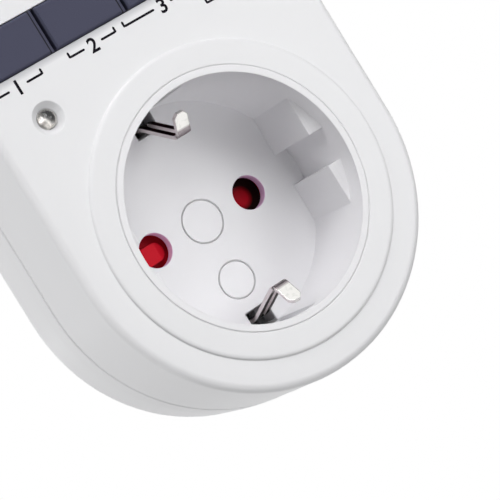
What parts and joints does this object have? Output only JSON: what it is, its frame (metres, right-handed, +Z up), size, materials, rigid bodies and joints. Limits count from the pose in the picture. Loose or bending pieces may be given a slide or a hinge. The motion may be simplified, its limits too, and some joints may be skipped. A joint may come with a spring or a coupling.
{
  "type": "plug-in timer switch",
  "caption": "Plug-in digital timer switch: a recessed side-earthed socket with a shutter below a display and keys, and an earthed round-pin plug behind.",
  "frame": {"origin": "centre of the plug's mating face, between the roots of the plug pins, on the common axis of plug and socket", "axes": "+Y along the plug pins into the wall, -Y out of the front socket, +Z up along the length of the body, +X to the right seen from the front"},
  "size_m": [0.06, 0.066, 0.12],
  "materials": {
    "cover_white": "fine satin moulded thermoplastic",
    "insert_white": "satin moulded thermoplastic",
    "slate_key": "fine satin moulded keys",
    "shutter_red": "moulded red plastic",
    "nickel": "nickel-plated brass and steel",
    "brass": "bare brass strip",
    "steel_screw": "zinc-plated screw",
    "display_window": "clear moulded window with a printed border",
    "lcd_glass": "liquid crystal panel",
    "lens_clear": "water-clear lamp",
    "black_plastic": "moulded black plastic",
    "silicone": "translucent grey silicone",
    "board_green": "glass-epoxy board with solder mask",
    "relay_blue": "moulded relay cover",
    "winding": "enamelled copper winding",
    "capacitor_yellow": "moulded capacitor box",
    "capacitor_sleeve": "shrink sleeve",
    "fuse_brown": "moulded fuse body",
    "absorber_blue": "dipped disc",
    "resistor_tan": "lacquered resistor",
    "wire_brown": "insulated wire",
    "wire_black": "insulated wire",
    "wire_blue": "insulated wire",
    "ribbon_grey": "flat ribbon cable"
  },
  "bodies": {
    "case": {"front_cover": "cover_white", "rear_cover": "cover_white", "plug_body": "cover_white", "socket_insert": "insert_white", "case_screws": "steel_screw", "shutter_spring": "nickel", "contact_carrier": "insert_white", "live_contact": "brass", "neutral_contact": "brass", "earth_bridge": "nickel", "plug_pin_live": "nickel", "plug_pin_neutral": "nickel", "pin_clamp": "insert_white", "plug_earth_strips": "nickel", "earth_pin_socket": "brass", "reset_switch": "black_plastic", "key_mat": "silicone", "status_led": "lens_clear", "display_window": "display_window", "lcd_frame": "black_plastic", "lcd_glass": "lcd_glass", "lcd_connectors": "silicone", "display_board": "board_green", "controller_chip": "black_plastic", "timing_crystal": "nickel", "backup_cell": "nickel", "board_screws": "steel_screw", "ribbon_cable": "ribbon_grey", "power_board": "board_green", "relay_base": "black_plastic", "relay_cover": "relay_blue", "relay_coil": "winding", "relay_yoke": "steel_screw", "relay_terminals": "brass", "dropper_capacitor": "capacitor_yellow", "smoothing_capacitor": "capacitor_sleeve", "thermal_fuse": "fuse_brown", "surge_absorber": "absorber_blue", "rectifier_diodes": "black_plastic", "resistors": "resistor_tan", "relay_transistor": "black_plastic", "live_wire": "wire_brown", "switched_wire": "wire_black", "neutral_wire": "wire_blue"},
    "clock": {"clock_key": "slate_key"},
    "timer": {"timer_key": "slate_key"},
    "mode": {"mode_key": "slate_key"},
    "recall": {"recall_key": "slate_key"},
    "week": {"week_key": "slate_key"},
    "hour": {"hour_key": "slate_key"},
    "minute": {"minute_key": "slate_key"},
    "random": {"random_key": "slate_key"},
    "reset": {"reset_button": "slate_key"},
    "shutter": {"safety_shutter": "shutter_red"},
    "top_clip": {"earth_clip_top": "nickel"},
    "bottom_clip": {"earth_clip_bottom": "nickel"},
    "armature": {"relay_armature": "steel_screw"}
  },
  "joints": [
    {"name": "clock_press", "type": "slide", "parent": "case", "child": "clock", "axis": [0, 1, 0], "range_m": [0, 0.0007], "stiffness_N_per_m": 1500},
    {"name": "timer_press", "type": "slide", "parent": "case", "child": "timer", "axis": [0, 1, 0], "range_m": [0, 0.0007], "stiffness_N_per_m": 1500},
    {"name": "mode_press", "type": "slide", "parent": "case", "child": "mode", "axis": [0, 1, 0], "range_m": [0, 0.0007], "stiffness_N_per_m": 1500},
    {"name": "recall_press", "type": "slide", "parent": "case", "child": "recall", "axis": [0, 1, 0], "range_m": [0, 0.0007], "stiffness_N_per_m": 1500},
    {"name": "week_press", "type": "slide", "parent": "case", "child": "week", "axis": [0, 1, 0], "range_m": [0, 0.0007], "stiffness_N_per_m": 1500},
    {"name": "hour_press", "type": "slide", "parent": "case", "child": "hour", "axis": [0, 1, 0], "range_m": [0, 0.0007], "stiffness_N_per_m": 1500},
    {"name": "minute_press", "type": "slide", "parent": "case", "child": "minute", "axis": [0, 1, 0], "range_m": [0, 0.0007], "stiffness_N_per_m": 1500},
    {"name": "random_press", "type": "slide", "parent": "case", "child": "random", "axis": [0, 1, 0], "range_m": [0, 0.0007], "stiffness_N_per_m": 1500},
    {"name": "reset_press", "type": "slide", "parent": "case", "child": "reset", "axis": [0, 1, 0], "range_m": [0, 0.0005], "stiffness_N_per_m": 1500},
    {"name": "shutter_turn", "type": "hinge", "parent": "case", "child": "shutter", "pos_m": [0, -0.0255, 0], "axis": [0, -1, 0], "range_deg": [0, 36], "stiffness_Nm_per_rad": 0.01},
    {"name": "top_clip_flex", "type": "hinge", "parent": "case", "child": "top_clip", "pos_m": [0, -0.0225, 0.0175], "axis": [-1, 0, 0], "range_deg": [0, 8], "stiffness_Nm_per_rad": 1},
    {"name": "bottom_clip_flex", "type": "hinge", "parent": "case", "child": "bottom_clip", "pos_m": [0, -0.0225, -0.0175], "axis": [1, 0, 0], "range_deg": [0, 5.4], "stiffness_Nm_per_rad": 1},
    {"name": "armature_pull", "type": "hinge", "parent": "case", "child": "armature", "pos_m": [-0.0062, -0.0259, 0.0443], "axis": [0, 0, -1], "range_deg": [0, 4.5], "stiffness_Nm_per_rad": 0.01}
  ]
}
